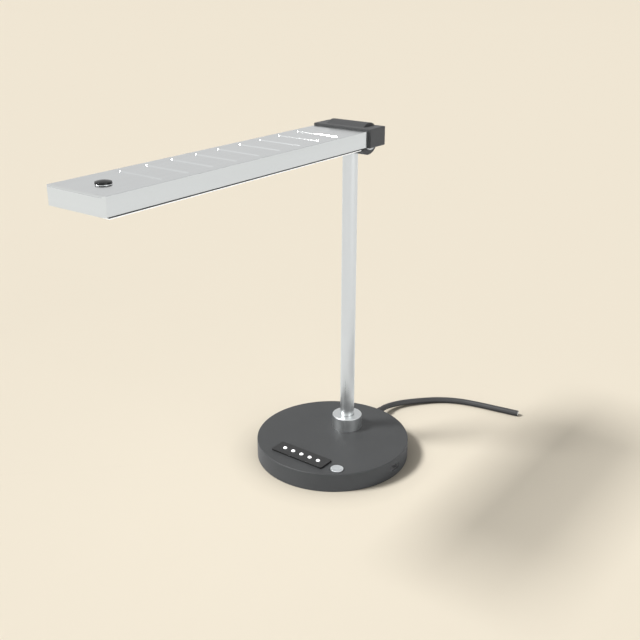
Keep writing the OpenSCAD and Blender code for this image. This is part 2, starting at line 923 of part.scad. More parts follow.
// Hole in the bracket for a screw with a sunk head
module bracket_hole(d, head_d, cone_h) {
    sunk_screw(d + 2 * fit, head_d + 2 * fit, cone_h + fit, 2 * bracket_t);
}

module hinge_bracket() {
    web_x = inside_x - 0.8;
    web_low = bar_bottom + 1.2;
    web_high = ceiling_z - 0.4;
    ear_low = bar_bottom + 1.4;
    ear_high = ceiling_z - 1.4;
    color("#c4c6c8")
    at_axis()
    difference() {
        union() {
            span([-web_x, web_front, web_low], [web_x, web_back, web_high]);
            both_sides() {
                span([ear_x, web_front, ear_low], [ear_out, 0, ear_high]);
                translate([ear_x, 0, 0]) along_x() cylinder(r = ear_r, h = bracket_t);
            }
        }
        translate([-ear_out - 1, 0, 0]) along_x() cylinder(r = axle_r + fit, h = 2 * ear_out + 2);
        both_sides() {
            translate([port_x, web_back + fit, port_z]) rotate([90, 0, 0])
                bracket_hole(bar_screw_d, bar_screw_head_d, bar_screw_cone);
            translate([ear_x - fit, cover_screw_y, cover_screw_z]) along_x()
                bracket_hole(cover_screw_d, cover_screw_head, cover_screw_cone);
        }
        translate([0, web_front - 1, link_lead_z]) along_y()
            cylinder(d = link_lead_d + 2 * gap, h = bracket_t + 2);
    }
}

module hinge_axle() {
    color("silver")
    at_axis() {
        translate([-ear_out - axle_head_t, 0, 0]) along_x() cylinder(r = axle_head_r, h = axle_head_t);
        translate([-ear_out - 1, 0, 0]) along_x()
            cylinder(r = axle_r, h = 2 * ear_out + 1 + axle_spring_t + axle_nut_t + 0.5);
    }
}

module hinge_washers() {
    color("#d8c9a0")
    at_axis() both_sides()
        translate([barrel_l / 2 + fit, 0, 0]) along_x() ring(washer_r, axle_r + fit, washer_t - fit);
}

module hinge_spring() {
    outline = [
        [axle_r + fit, axle_spring_t],
        [axle_r + fit, axle_spring_t / 2],
        [axle_head_r, 0],
        [axle_head_r, axle_spring_t / 2]
    ];
    color("#8b8d90") at_axis() translate([ear_out, 0, 0]) along_x() rotate_extrude() polygon(outline);
}

module hinge_nut() {
    color("silver")
    at_axis() translate([ear_out + axle_spring_t, 0, 0]) along_x()
    difference() {
        cylinder(d = axle_nut_af / cos(30), h = axle_nut_t, $fn = 6);
        translate([0, 0, -cut]) cylinder(r = axle_r + fit, h = axle_nut_t + 2 * cut);
    }
}

// Solid outline of the hinge cover, with all its edges rounded
module cover_block() {
    depth = cover_front + cover_rear;
    height = cover_top - cover_bottom;
    middle = [0, (cover_rear - cover_front) / 2, (cover_top + cover_bottom) / 2];
    translate(middle)
    intersection() {
        linear_extrude(2 * height, center = true)
            two_radius_square(2 * cover_x, depth, cover_front_r, cover_edge_r);
        rotate([90, 0, 0]) linear_extrude(2 * depth, center = true)
            rounded_square(2 * cover_x, height, cover_edge_r);
        rotate([90, 0, 90]) linear_extrude(4 * cover_x, center = true)
            rotate(-90) two_radius_square(height, depth, cover_front_r, cover_edge_r);
    }
}

module hinge_cover() {
    window_x = barrel_l / 2 + washer_t;
    window_r = barrel_r + 0.5;
    slot_in = window_x - seat;
    slot_out = ear_out + seat;
    slot_r = ear_r + 0.4;
    mouth_x = head_w / 2 + fit;
    color("#4c4d4e")
    at_axis()
    difference() {
        cover_block();
        translate([-window_x, 0, 0]) along_x() cylinder(r = window_r, h = 2 * window_x);
        span([-window_x, -cover_front - 1, cover_bottom - 1], [window_x, 0, bar_bottom - fit]);
        span([-mouth_x, -cover_front - 1, bar_bottom - fit], [mouth_x, bar_rear + fit, bar_top + fit]);
        both_sides() {
            translate([slot_in, 0, 0]) along_x() cylinder(r = slot_r, h = slot_out - slot_in);
            span([slot_in, -cover_front - 1, bar_bottom + 1], [slot_out, 0, ceiling_z - 1]);
            span([slot_in, 0, cover_bottom - 1], [slot_out, cover_rear + 1, head_drop]);
            translate([slot_out - cut, 0, 0]) along_x() cylinder(r = pocket_r, h = pocket_out - slot_out);
            translate([slot_out - cut, cover_screw_y, cover_screw_z]) along_x()
                cylinder(d = cover_screw_d + 2 * fit, h = cover_screw_l);
        }
    }
}

module hinge_cover_screws() {
    color("silver")
    at_axis() both_sides()
        translate([ear_x, cover_screw_y, cover_screw_z]) along_x()
            sunk_screw(cover_screw_d, cover_screw_head, cover_screw_cone, cover_screw_l);
}

module bracket_screws() {
    color("silver")
    at_axis() both_sides()
        translate([port_x, web_back, port_z]) rotate([90, 0, 0])
            sunk_screw(bar_screw_d, bar_screw_head_d, bar_screw_cone, bar_screw_l);
}

// Light bar

// Cross-section of the light bar's shell, with the length of the bar out of the page
module bar_section() {
    w = head_w / 2;
    difference() {
        union() {
            translate([-w, bar_bottom]) square([head_w, head_h - head_edge_r]);
            translate([head_edge_r - w, bar_bottom]) square([head_w - 2 * head_edge_r, head_h]);
            for (side = [-1, 1]) translate([side * (w - head_edge_r), bar_top - head_edge_r])
                circle(r = head_edge_r);
        }
        translate([-inside_x, bar_bottom - 1]) square([2 * inside_x, ceiling_z - bar_bottom + 1]);
    }
}

// Cut for one groove with sloped walls and round ends
module groove() {
    half = (groove_l - groove_w) / 2;
    rotate([90, 0, 90]) linear_extrude(2 * half, center = true)
        polygon([
            [-groove_brim_r, cut],
            [-groove_floor_r, -groove_depth],
            [groove_floor_r, -groove_depth],
            [groove_brim_r, cut]
        ]);
    both_sides() translate([half, 0, -groove_depth])
        cylinder(r1 = groove_floor_r, r2 = groove_brim_r, h = groove_depth + cut);
}

module bar_shell() {
    color("#d2d5d5")
    at_axis()
    difference() {
        union() {
            translate([0, bar_rear, 0]) rotate([90, 0, 0])
                linear_extrude(bar_rear - shell_front) bar_section();
            both_sides() {
                translate([port_x, web_front - port_l, port_z]) along_y() cylinder(r = port_r, h = port_l);
                span([port_x - port_web / 2, web_front - port_l, port_z],
                    [port_x + port_web / 2, web_front, ceiling_z + join]);
                span([inside_x - ledge_w, diffuser_front, ledge_z],
                    [inside_x + join, diffuser_rear, ledge_z + ledge_h]);
            }
        }
        for (i = [0:groove_count - 1])
            translate([0, -groove_start - i * groove_pitch, bar_top]) groove();
        both_sides() translate([port_x, web_front + 1, port_z]) rotate([90, 0, 0])
            cylinder(d = bar_screw_d + 2 * fit, h = bar_screw_l + 1);
        translate([0, knob_y, ceiling_z - cut]) cylinder(r = body_r + fit, h = head_top_t + 2 * cut);
    }
}

// Block that rounds the end cap's front edges and reaches past its other sides
module end_cap_edges() {
    depth = 4 * end_cap_t;
    intersection() {
        translate([0, bar_front + depth / 2, bar_bottom - 1])
            linear_extrude(head_h + 2) rounded_square(head_w, depth, end_corner_r);
        translate([0, bar_front + depth / 2, bar_top - head_h]) rotate([90, 0, 90])
            linear_extrude(head_w + 2, center = true) rounded_square(depth, 2 * head_h, end_edge_r);
    }
}

module bar_end_cap() {
    inner_x = inside_x - ledge_w - gap;
    lip_end = diffuser_front - gap;
    lip_top = leg_top + gap;
    plug_end = shell_front + end_plug_l;
    color("#dadcda")
    at_axis() {
        intersection() {
            translate([0, shell_front, 0]) rotate([90, 0, 0]) linear_extrude(end_cap_t) {
                bar_section();
                translate([-inside_x - join, bar_bottom])
                    square([2 * (inside_x + join), head_h - head_top_t + join]);
            }
            end_cap_edges();
        }
        span([-inner_x, shell_front - join, lip_top], [inner_x, plug_end, ceiling_z - seat]);
        span([fit - inside_x, shell_front - join, bar_bottom], [inside_x - fit, lip_end, lip_top + join]);
    }
}

module led_board() {
    color("#e6e8e6")
    at_axis()
        span([-led_board_w / 2, led_front, ceiling_z - board_t], [led_board_w / 2, led_rear, ceiling_z]);
}

module led_chips() {
    color("#f6efc4")
    at_axis()
    for (row = [-1, 1], i = [0:led_count - 1])
        translate([
            row * led_row_x,
            led_middle + (i - (led_count - 1) / 2) * led_pitch,
            ceiling_z - board_t - led_chip[2] / 2
        ])
            cube(led_chip, center = true);
}

module led_connector() {
    top = ceiling_z - board_t;
    color("#efefec")
    at_axis() span([-link_w / 2, link_rear - link_w, top - link_h], [link_w / 2, link_rear, top]);
}

module bar_lead() {
    color("#2b2b2c")
    at_axis() translate([0, link_rear, link_lead_z]) along_y()
        cylinder(d = link_lead_d, h = web_back - link_rear + 0.3);
}

module diffuser_gasket() {
    color("#3a3a38")
    at_axis() {
        both_sides()
            span([gasket_x - gasket_w + fit, diffuser_front, gasket_bottom],
                [gasket_x, gasket_rear, bar_bottom]);
        span([-gasket_x, diffuser_rear + fit, diffuser_bottom], [gasket_x, gasket_rear, bar_bottom]);
    }
}

module diffuser() {
    color("white")
    at_axis() {
        span([-gasket_x, diffuser_front, diffuser_bottom], [gasket_x, diffuser_rear, gasket_bottom]);
        both_sides() {
            span([leg_x - leg_t, diffuser_front, gasket_bottom - join], [leg_x, diffuser_rear, leg_top]);
            span([leg_x - join, diffuser_front, leg_top - bead_h], [leg_x + bead_w, diffuser_rear, leg_top]);
        }
    }
}

module bar_switch() {
    color("#c9cccf")
    at_knob(0)
    difference() {
        union() {
            translate([0, 0, bar_top]) rounded_disc(bezel_r, bezel_h, bezel_edge_r);
            translate([0, 0, body_bottom]) cylinder(r = body_r, h = bar_top - body_bottom + cut);
        }
        translate([0, 0, well_z]) cylinder(r = well_r, h = head_h);
        translate([0, 0, well_z - stem_l]) cylinder(r = stem_r + fit, h = stem_l + cut);
    }
}

module bar_switch_nut() {
    color("silver")
    at_knob(ceiling_z - body_nut_t)
    difference() {
        cylinder(d = body_nut_af / cos(30), h = body_nut_t, $fn = 6);
        translate([0, 0, -cut]) cylinder(r = body_r + fit, h = body_nut_t + 2 * cut);
    }
}

module bar_button() {
    side_h = knob_h - knob_dome + knob_skirt;
    stem_in = stem_l - knob_travel - gap;
    color("#151516")
    at_knob(bar_top - knob_skirt) {
        cylinder(r = knob_r, h = side_h);
        translate([0, 0, side_h - cut]) dome(knob_r, knob_dome);
        translate([0, 0, -knob_travel - gap - stem_in])
            cylinder(r = stem_r, h = stem_in + knob_travel + gap + cut);
    }
}

base_shell();
base_cover();
base_weight();
foot_pad();
base_screws();
touch_panel();
level_lens(1);  // level_lens_1
level_lens(2);  // level_lens_2
level_lens(3);  // level_lens_3
level_lens(4);  // level_lens_4
level_lens(5);  // level_lens_5
touch_board();
level_chips();
power_button();
power_switch();
switch_plunger();
usb_socket();
usb_tongue();
power_board();
board_parts();
board_screws();
strain_relief();
cord();
inner_lead();
collar();
collar_screws();
swivel_bush();
thrust_washer();
friction_washer();
stop_screw();
pole_tube();
swivel_spindle();
disc_spring();
swivel_nut();
pole_cable();
hinge_barrel();
hinge_bushes();
barrel_grub_screw();
hinge_bracket();
hinge_axle();
hinge_washers();
hinge_spring();
hinge_nut();
hinge_cover();
hinge_cover_screws();
bracket_screws();
bar_shell();
bar_end_cap();
led_board();
led_chips();
led_connector();
bar_lead();
diffuser_gasket();
diffuser();
bar_switch();
bar_switch_nut();
bar_button();
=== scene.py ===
import json
import math

import bpy
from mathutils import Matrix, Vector


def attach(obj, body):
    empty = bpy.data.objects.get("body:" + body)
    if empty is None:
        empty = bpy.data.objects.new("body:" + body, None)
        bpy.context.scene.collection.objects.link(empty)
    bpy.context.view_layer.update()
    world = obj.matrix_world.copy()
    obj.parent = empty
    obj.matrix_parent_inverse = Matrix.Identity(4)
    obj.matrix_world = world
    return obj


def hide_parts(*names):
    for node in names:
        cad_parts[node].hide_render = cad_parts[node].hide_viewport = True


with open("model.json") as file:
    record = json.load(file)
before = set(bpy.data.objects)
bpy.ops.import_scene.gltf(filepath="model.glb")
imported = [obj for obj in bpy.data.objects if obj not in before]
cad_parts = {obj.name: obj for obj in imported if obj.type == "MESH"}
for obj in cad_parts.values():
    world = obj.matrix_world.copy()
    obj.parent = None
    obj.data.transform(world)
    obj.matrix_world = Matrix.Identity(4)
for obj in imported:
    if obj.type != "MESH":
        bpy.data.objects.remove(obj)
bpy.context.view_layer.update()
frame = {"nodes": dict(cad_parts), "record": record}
nodes = frame["nodes"]
scene = bpy.context.scene

# Camera
CAMERA_PLACE = (0.55523, -0.76469, 0.54833)
CAMERA_AIM = (0.0, -0.0252, 0.1797)
CAMERA_LENS = 50.0
CAMERA_SENSOR = 36.0

# Cord, in metres: each point is its distance to the right of and behind the exit, and its height
CORD_D = 0.0072
CORD_EXIT = (-0.003, 0.1105, 0.0092)
LYING = CORD_D / 2
CORD_ROUTE = [
    (0.0, 0.0, CORD_EXIT[2]),
    (0.0, 0.008, CORD_EXIT[2]),
    (0.0, 0.018, 0.0076),
    (0.0024, 0.029, 0.0063),
    (0.0072, 0.040, 0.0056),
    (0.0136, 0.0503, 0.005),
    (0.0214, 0.0604, 0.0046),
    (0.0294, 0.0698, 0.0042),
    (0.0384, 0.0787, 0.0039),
    (0.0484, 0.0861, 0.0037),
    (0.0595, 0.092, LYING),
    (0.0715, 0.0965, LYING),
    (0.0845, 0.0995, LYING),
    (0.0975, 0.102, LYING),
    (0.1105, 0.104, LYING),
    (0.1235, 0.106, LYING),
    (0.1335, 0.1075, LYING),
    (0.1435, 0.109, LYING),
]
CORD_STEPS = 6
CORD_ROUNDING = 6
CORD_END_GAP = 0.0002

# Cut face at the cord's end, in metres
FILLER_R = 0.0028
WIRE_R = 0.0007
WIRE_SIDE = 0.0011
CUT_DEPTH = 0.00012
CUT_STEP = 0.00004
CUT_SIDES = 20

# Floor, with the shade close to the lamp
BACKDROP = (0.888, 0.807, 0.665, 1.0)
BOUNCE = (0.87, 0.87, 0.86, 1.0)
FLOOR_SIZE = 80.0
CONTACT_REACH = 0.038
CONTACT_POWER = 0.45
CONTACT_SAMPLES = 16

# Lights, in metres and watts: far off, so that they light the whole object alike
KEY_HEIGHT = 1000.0
KEY_SLOPE = (0.652, 0.652)
KEY_SIDE = 385.0
KEY_POWER = 23700000.0
FILL_PLACE = (300.0, -50.0, 70.0)
FILL_SIDE = 200.0
FILL_POWER = 260000.0

# Sky, as levels: for soft fill, in polished metal, and in polished metal towards the key
SKY_LEVEL = 0.22
SKY_GLOSS = 0.7
SKY_GLOW = 0.9
GLOW_EDGE = 0.863

# Noise of the shader groups, as scale, detail and roughness, and the span that most of it is in
GRAIN_DETAIL = (2.0, 0.6)
CLOUD_NOISE = (22.0, 3.0, 0.55)
STREAK_NOISE = (900.0, 2.0, 0.5)
BROAD_NOISE = (130.0, 2.0, 0.5)
NOISE_SPAN = (0.3, 0.7)

# Edges and facing: how far a surface turns before a mask starts and ends
# Edge mask for wear and painted highlights
EDGE_R = 0.0005
EDGE_SAMPLES = 6
EDGE_SPAN = (0.01, 0.2)
# Facing where dust settles on top and painted shade falls below
DUST_AND_SHADE_FACING = (-0.5, 0.1)
# Facing of the hinge cover's front lip, where its painted shade starts and ends
LIP_SHADE_FACING = (-0.6, -0.95)
UPRIGHT_FACING = (0.2, 0.3)
LEVEL_FACING = (0.95, 0.85)

# Stretch of the streaks in brushed metal
ALONG_BAR = (1.0, 0.03, 1.0)
ALONG_POLE = (1.0, 1.0, 0.02)
ALONG_AXLE = (0.05, 1.0, 1.0)
EVEN = (1.0, 1.0, 1.0)

# Scale of the grain in each kind of material
MOULDED_GRAIN = 3000.0
METAL_GRAIN = 2500.0
FROSTED_GRAIN = 2000.0
RUBBER_GRAIN = 1800.0
BOARD_GRAIN = 1500.0

# Darkest and palest tone, as shares of the colour
MOULDED_TONES = (0.93, 1.06)
COVER_TONES = (0.94, 1.06)
METAL_TONES = (0.95, 1.03)
# Painted shade on the hinge cover's front lip, as a share of the colour
LIP_PAINTED_SHADE = 0.75
DUSTY_SHADE = 1.25
DUSTY_LIFT = 0.004
BOARD_SHADE = 0.85

# Roughness below and above the middle one, and strength and depth of the bump
MOULDED_SPREAD = (0.05, 0.06)
MATT_SPREAD = (0.06, 0.06)
BOARD_ROUGH = (0.25, 0.38)
MOULDED_BUMP = 0.35
MOULDED_DEPTH = 0.00002
STREAK_DEPTH = 0.00001
FROSTED_BUMP = (0.2, 0.00002)
RUBBER_BUMP = (0.3, 0.00003)
TRACK_BUMP = (0.3, 0.00003)

# Lit lenses and the tracks of the boards
LIT_EDGE_R = 0.0006
LIT_CLOUD = (0.96, 1.0)
LIT_EDGE_LOSS = 0.08
LIT_DIM = 0.5
TRACK_SCALE = 220.0
TRACK_SPAN = (0.05, 0.09)

# Places of the colour sockets in a mix node
MIX_A = 6
MIX_B = 7
MIX_RESULT = 2


def make_camera():
    data = bpy.data.cameras.new("camera")
    data.lens = CAMERA_LENS
    data.sensor_width = CAMERA_SENSOR
    camera = bpy.data.objects.new("camera", data)
    aim = Vector(CAMERA_AIM) - Vector(CAMERA_PLACE)
    camera.location = CAMERA_PLACE
    camera.rotation_euler = aim.to_track_quat("-Z", "Y").to_euler()
    scene.collection.objects.link(camera)
    scene.camera = camera


def smooth_route(points, steps):
    """Points of a smooth line through the given points, never lower than a lying cord."""
    p = [Vector(x) for x in points]
    p = [2 * p[0] - p[1], *p, 2 * p[-1] - p[-2]]
    line = []
    for a, b, c, d in zip(p, p[1:], p[2:], p[3:]):
        bend = 2 * a - 5 * b + 4 * c - d
        turn = 3 * b - a - 3 * c + d
        for k in range(steps):
            t = k / steps
            line.append(0.5 * (2 * b + (c - a) * t + bend * t * t + turn * t * t * t))
    line.append(p[-2])
    for q in line:
        q.z = max(q.z, LYING)
    return line


def make_cord():
    """Smooth round cord; each point's own radius gives its thickness."""
    route = [(CORD_EXIT[0] + x, CORD_EXIT[1] + y, z) for x, y, z in CORD_ROUTE]
    line = smooth_route(route, CORD_STEPS)
    end_dir = (line[-1] - line[-2]).normalized()
    line[-1] = line[-1] - CORD_END_GAP * end_dir
    data = bpy.data.curves.new("mains_cord", "CURVE")
    data.dimensions = "3D"
    data.bevel_depth = 1.0
    data.bevel_resolution = CORD_ROUNDING
    data.use_fill_caps = True
    spline = data.splines.new("POLY")
    spline.points.add(len(line) - 1)
    for point, place in zip(spline.points, line):
        point.co = (*place, 1.0)
        point.radius = CORD_D / 2
    cord = bpy.data.objects.new("mains_cord", data)
    scene.collection.objects.link(cord)
    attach(cord, "base")
    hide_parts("cord")
    cores = make_cores(line[-1], end_dir)
    return cord, cores


def make_cores(place, direction):
    """Pale filler and two wire ends showing in the cord's cut face."""
    side = direction.cross(Vector((0, 0, 1))).normalized()
    up = side.cross(direction)
    verts, faces, wire_faces = [], [], []
    discs = (
        (0.0, FILLER_R, 0.0),
        (-WIRE_SIDE, WIRE_R, CUT_STEP),
        (WIRE_SIDE, WIRE_R, CUT_STEP),
    )
    for offset, radius, step in discs:
        first = len(verts)
        for along in (-CUT_DEPTH, CUT_DEPTH + step):
            for k in range(CUT_SIDES):
                a = 2 * math.pi * k / CUT_SIDES
                spoke = radius * (math.cos(a) * side + math.sin(a) * up)
                verts.append(place + offset * side + along * direction + spoke)
        faces.append([first + CUT_SIDES + k for k in range(CUT_SIDES)])
        for k in range(CUT_SIDES):
            n = (k + 1) % CUT_SIDES
            faces.append([first + k, first + n, first + CUT_SIDES + n, first + CUT_SIDES + k])
        wire_faces += [step > 0] * (CUT_SIDES + 1)
    mesh = bpy.data.meshes.new("cord_cores")
    mesh.from_pydata([tuple(v) for v in verts], [], faces)
    for face, is_wire in zip(mesh.polygons, wire_faces):
        face.material_index = int(is_wire)
    cores = bpy.data.objects.new("cord_cores", mesh)
    scene.collection.objects.link(cores)
    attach(cores, "base")
    return cores


# Shader nodes

def add(tree, kind, **values):
    """New node with its properties set."""
    node = tree.nodes.new(kind)
    for name, value in values.items():
        setattr(node, name, value)
    return node


def put(tree, value, socket):
    """Link a socket to another one, or set it to a plain value."""
    if isinstance(value, bpy.types.NodeSocket):
        tree.links.new(value, socket)
    else:
        socket.default_value = value


def math_node(tree, operation, a, b, clamp=False):
    """Math node fed by sockets or numbers; returns its output."""
    node = add(tree, "ShaderNodeMath", operation=operation, use_clamp=clamp)
    put(tree, a, node.inputs[0])
    put(tree, b, node.inputs[1])
    return node.outputs[0]


def vector_math(tree, operation, a, b):
    """Vector math node fed by sockets or vectors; returns its outputs."""
    node = add(tree, "ShaderNodeVectorMath", operation=operation)
    put(tree, a, node.inputs[0])
    put(tree, b, node.inputs[1])
    return node.outputs


def map_range(tree, value, low, high, new_low=0.0, new_high=1.0):
    """Value moved from one range to another and kept within it."""
    node = add(tree, "ShaderNodeMapRange")
    tree.links.new(value, node.inputs["Value"])
    ends = {"From Min": low, "From Max": high, "To Min": new_low, "To Max": new_high}
    for label, end in ends.items():
        put(tree, end, node.inputs[label])
    return node.outputs[0]


def noise(tree, vector, scale, detail, rough):
    node = add(tree, "ShaderNodeTexNoise")
    tree.links.new(vector, node.inputs["Vector"])
    put(tree, scale, node.inputs["Scale"])
    node.inputs["Detail"].default_value = detail
    node.inputs["Roughness"].default_value = rough
    return node.outputs[0]


def mix_colour(tree, factor, a, b):
    """Colour mix of two colours or sockets; returns its output."""
    node = add(tree, "ShaderNodeMix", data_type="RGBA")
    tree.links.new(factor, node.inputs[0])
    put(tree, a, node.inputs[MIX_A])
    put(tree, b, node.inputs[MIX_B])
    return node.outputs[MIX_RESULT]


def bump(tree, height, strength, depth, normal=None):
    node = add(tree, "ShaderNodeBump")
    node.inputs["Strength"].default_value = strength
    node.inputs["Distance"].default_value = depth
    tree.links.new(height, node.inputs["Height"])
    if normal is not None:
        tree.links.new(normal, node.inputs["Normal"])
    return node.outputs[0]


def coordinate(tree, kind):
    return add(tree, "ShaderNodeTexCoord").outputs[kind]


def facing(tree):
    """Way that a surface of the object faces, as X, Y and Z."""
    split = add(tree, "ShaderNodeSeparateXYZ")
    tree.links.new(coordinate(tree, "Normal"), split.inputs[0])
    return split.outputs


# Shader groups

def new_group(name, inputs, outputs):
    """Empty node group with the named sockets, and its input and output nodes."""
    group = bpy.data.node_groups.new(name, "ShaderNodeTree")
    for label, kind, value in inputs:
        socket = group.interface.new_socket(label, in_out="INPUT", socket_type=kind)
        socket.default_value = value
    for label, kind in outputs:
        group.interface.new_socket(label, in_out="OUTPUT", socket_type=kind)
    start = group.nodes.new("NodeGroupInput")
    end = group.nodes.new("NodeGroupOutput")
    return group, start, end


def make_grain_group():
    """Fine moulded or bead-blasted grain, and slow cloudy changes of tone."""
    group, start, end = new_group(
        "fine_grain",
        [("Scale", "NodeSocketFloat", MOULDED_GRAIN)],
        [("Grain", "NodeSocketFloat"), ("Cloud", "NodeSocketFloat")],
    )
    place = coordinate(group, "Object")
    fine = noise(group, place, start.outputs["Scale"], *GRAIN_DETAIL)
    group.links.new(fine, end.inputs["Grain"])
    cloud = noise(group, place, *CLOUD_NOISE)
    group.links.new(map_range(group, cloud, *NOISE_SPAN), end.inputs["Cloud"])
    return group


def make_brush_group():
    """Fine streaks along one direction, set by a stretch for each axis."""
    group, start, end = new_group(
        "brushed_streaks",
        [("Stretch", "NodeSocketVector", EVEN)],
        [("Streak", "NodeSocketFloat"), ("Broad", "NodeSocketFloat")],
    )
    place = coordinate(group, "Object")
    stretched = vector_math(group, "MULTIPLY", place, start.outputs["Stretch"])["Vector"]
    group.links.new(noise(group, stretched, *STREAK_NOISE), end.inputs["Streak"])
    group.links.new(noise(group, stretched, *BROAD_NOISE), end.inputs["Broad"])
    return group


def make_edge_group():
    """Edge mask for wear and painted highlights, and a normal that rounds sharp edges."""
    group, start, end = new_group(
        "edge_wear_and_highlight",
        [("Radius", "NodeSocketFloat", EDGE_R)],
        [("Mask", "NodeSocketFloat"), ("Normal", "NodeSocketVector")],
    )
    bevel = add(group, "ShaderNodeBevel", samples=EDGE_SAMPLES)
    group.links.new(start.outputs["Radius"], bevel.inputs["Radius"])
    true_normal = add(group, "ShaderNodeNewGeometry").outputs["Normal"]
    along = vector_math(group, "DOT_PRODUCT", bevel.outputs[0], true_normal)["Value"]
    turned = math_node(group, "SUBTRACT", 1.0, along, clamp=True)
    group.links.new(map_range(group, turned, *EDGE_SPAN), end.inputs["Mask"])
    group.links.new(bevel.outputs[0], end.inputs["Normal"])
    return group


def make_dust_and_shade_group():
    """Mask of the surfaces that face up, on which dust settles; what faces down can get painted shade.
    """
    low, high = DUST_AND_SHADE_FACING
    group, start, end = new_group(
        "settled_dust_and_underside_shade",
        [("Low", "NodeSocketFloat", low), ("High", "NodeSocketFloat", high)],
        [("Mask", "NodeSocketFloat")],
    )
    share = map_range(group, facing(group)["Z"], start.outputs["Low"], start.outputs["High"])
    group.links.new(share, end.inputs["Mask"])
    return group


GRAIN = make_grain_group()
BRUSH = make_brush_group()
EDGE = make_edge_group()
DUST_AND_SHADE = make_dust_and_shade_group()


def use_group(tree, group, **values):
    node = add(tree, "ShaderNodeGroup", node_tree=group)
    for name, value in values.items():
        node.inputs[name].default_value = value
    return node.outputs


# Materials: each maker returns the name with the material

def grey(level):
    return (level, level, level, 1.0)


def shade(colour, share, lift=0.0):
    """Darker or paler tone of a colour, up to white."""
    return tuple(min(c * share + lift, 1.0) for c in colour[:3]) + (1.0,)


def start_material(name):
    material = bpy.data.materials.new(name)
    material.use_nodes = True
    tree = material.node_tree
    return material, tree, tree.nodes["Principled BSDF"]


def mix_tones(tree, factor, colour, tones):
    darkest, palest = tones
    return mix_colour(tree, factor, shade(colour, darkest), shade(colour, palest))


def grained_rough(tree, grain, rough, spread):
    """Roughness that follows the grain, from below to above a middle one."""
    below, above = spread
    return map_range(tree, grain, *NOISE_SPAN, rough - below, rough + above)


def plastic(
    name,
    colour,
    rough,
    depth=MOULDED_DEPTH,
    edge=EDGE_R,
    lift=1.35,
    gloss=0.5,
    tones=MOULDED_TONES,
    painted_lip_shade=None,
):
    """Moulded plastic with fine grain, cloudy tone, edges paler from wear and painted highlight, and
    perhaps painted shade on the front lip.
    """
    material, tree, shader = start_material(name)
    fine = use_group(tree, GRAIN, Scale=MOULDED_GRAIN)
    edge_outputs = use_group(tree, EDGE, Radius=edge)
    body = mix_tones(tree, fine["Cloud"], colour, tones)
    # Painted shade on faces turned to the front, the hinge cover's lip
    if painted_lip_shade is not None:
        lip_shade_mask = map_range(tree, facing(tree)["Y"], *LIP_SHADE_FACING)
        body = mix_colour(tree, lip_shade_mask, body, shade(colour, painted_lip_shade))
    # Paler edges, part wear and part painted highlight
    edged = mix_colour(tree, edge_outputs["Mask"], body, shade(colour, lift))
    surface = grained_rough(tree, fine["Grain"], rough, MOULDED_SPREAD)
    relief = bump(tree, fine["Grain"], MOULDED_BUMP, depth, edge_outputs["Normal"])
    tree.links.new(edged, shader.inputs["Base Color"])
    tree.links.new(surface, shader.inputs["Roughness"])
    tree.links.new(relief, shader.inputs["Normal"])
    shader.inputs["Specular IOR Level"].default_value = gloss
    return name, material


def polished_cuts(tree, surface, polish):
    """Roughness that drops to that of polished metal on the sloped walls of cut grooves."""
    up = facing(tree)["Z"]
    not_upright = map_range(tree, up, *UPRIGHT_FACING)
    not_level = map_range(tree, up, *LEVEL_FACING)
    wall = math_node(tree, "MULTIPLY", not_upright, not_level)
    rest = math_node(tree, "MULTIPLY", surface, math_node(tree, "SUBTRACT", 1.0, wall))
    return math_node(tree, "ADD", rest, math_node(tree, "MULTIPLY", wall, polish))


def metal(
    name,
    colour,
    rough,
    stretch,
    streak=0.25,
    edge=0.0004,
    vary=0.05,
    lift=1.15,
    cuts=None,
):
    """Satin or brushed metal with streaks, edges paler from wear and painted highlight, and perhaps
    polished cuts.
    """
    material, tree, shader = start_material(name)
    lines = use_group(tree, BRUSH, Stretch=stretch)
    fine = use_group(tree, GRAIN, Scale=METAL_GRAIN)
    edge_outputs = use_group(tree, EDGE, Radius=edge)
    body = mix_tones(tree, lines["Broad"], colour, METAL_TONES)
    # Paler edges, part wear and part painted highlight
    edged = mix_colour(tree, edge_outputs["Mask"], body, shade(colour, lift))
    brushed = map_range(tree, lines["Streak"], *NOISE_SPAN, -vary, vary)
    cloud = map_range(tree, fine["Cloud"], 0.0, 1.0, -vary / 2, vary / 2)
    tone = math_node(tree, "ADD", brushed, rough)
    surface = math_node(tree, "ADD", tone, cloud, clamp=True)
    if cuts is not None:
        surface = polished_cuts(tree, surface, cuts)
    relief = bump(tree, lines["Streak"], streak, STREAK_DEPTH, edge_outputs["Normal"])
    tree.links.new(edged, shader.inputs["Base Color"])
    tree.links.new(surface, shader.inputs["Roughness"])
    tree.links.new(relief, shader.inputs["Normal"])
    shader.inputs["Metallic"].default_value = 1.0
    return name, material


def glowing(name, colour, glow, rough):
    """Frosted lens, diffuser or chip that is lit, a little dimmer towards its edges."""
    material, tree, shader = start_material(name)
    fine = use_group(tree, GRAIN, Scale=FROSTED_GRAIN)
    edge_outputs = use_group(tree, EDGE, Radius=LIT_EDGE_R)
    cloud = map_range(tree, fine["Cloud"], 0.0, 1.0, *LIT_CLOUD)
    loss = math_node(tree, "MULTIPLY", edge_outputs["Mask"], LIT_EDGE_LOSS)
    level = math_node(tree, "SUBTRACT", cloud, loss)
    lit = mix_colour(tree, level, shade(colour, LIT_DIM), colour)
    surface = grained_rough(tree, fine["Grain"], rough, MATT_SPREAD)
    tree.links.new(lit, shader.inputs["Emission Color"])
    tree.links.new(surface, shader.inputs["Roughness"])
    tree.links.new(bump(tree, fine["Grain"], *FROSTED_BUMP), shader.inputs["Normal"])
    shader.inputs["Emission Strength"].default_value = glow
    shader.inputs["Base Color"].default_value = colour
    return name, material


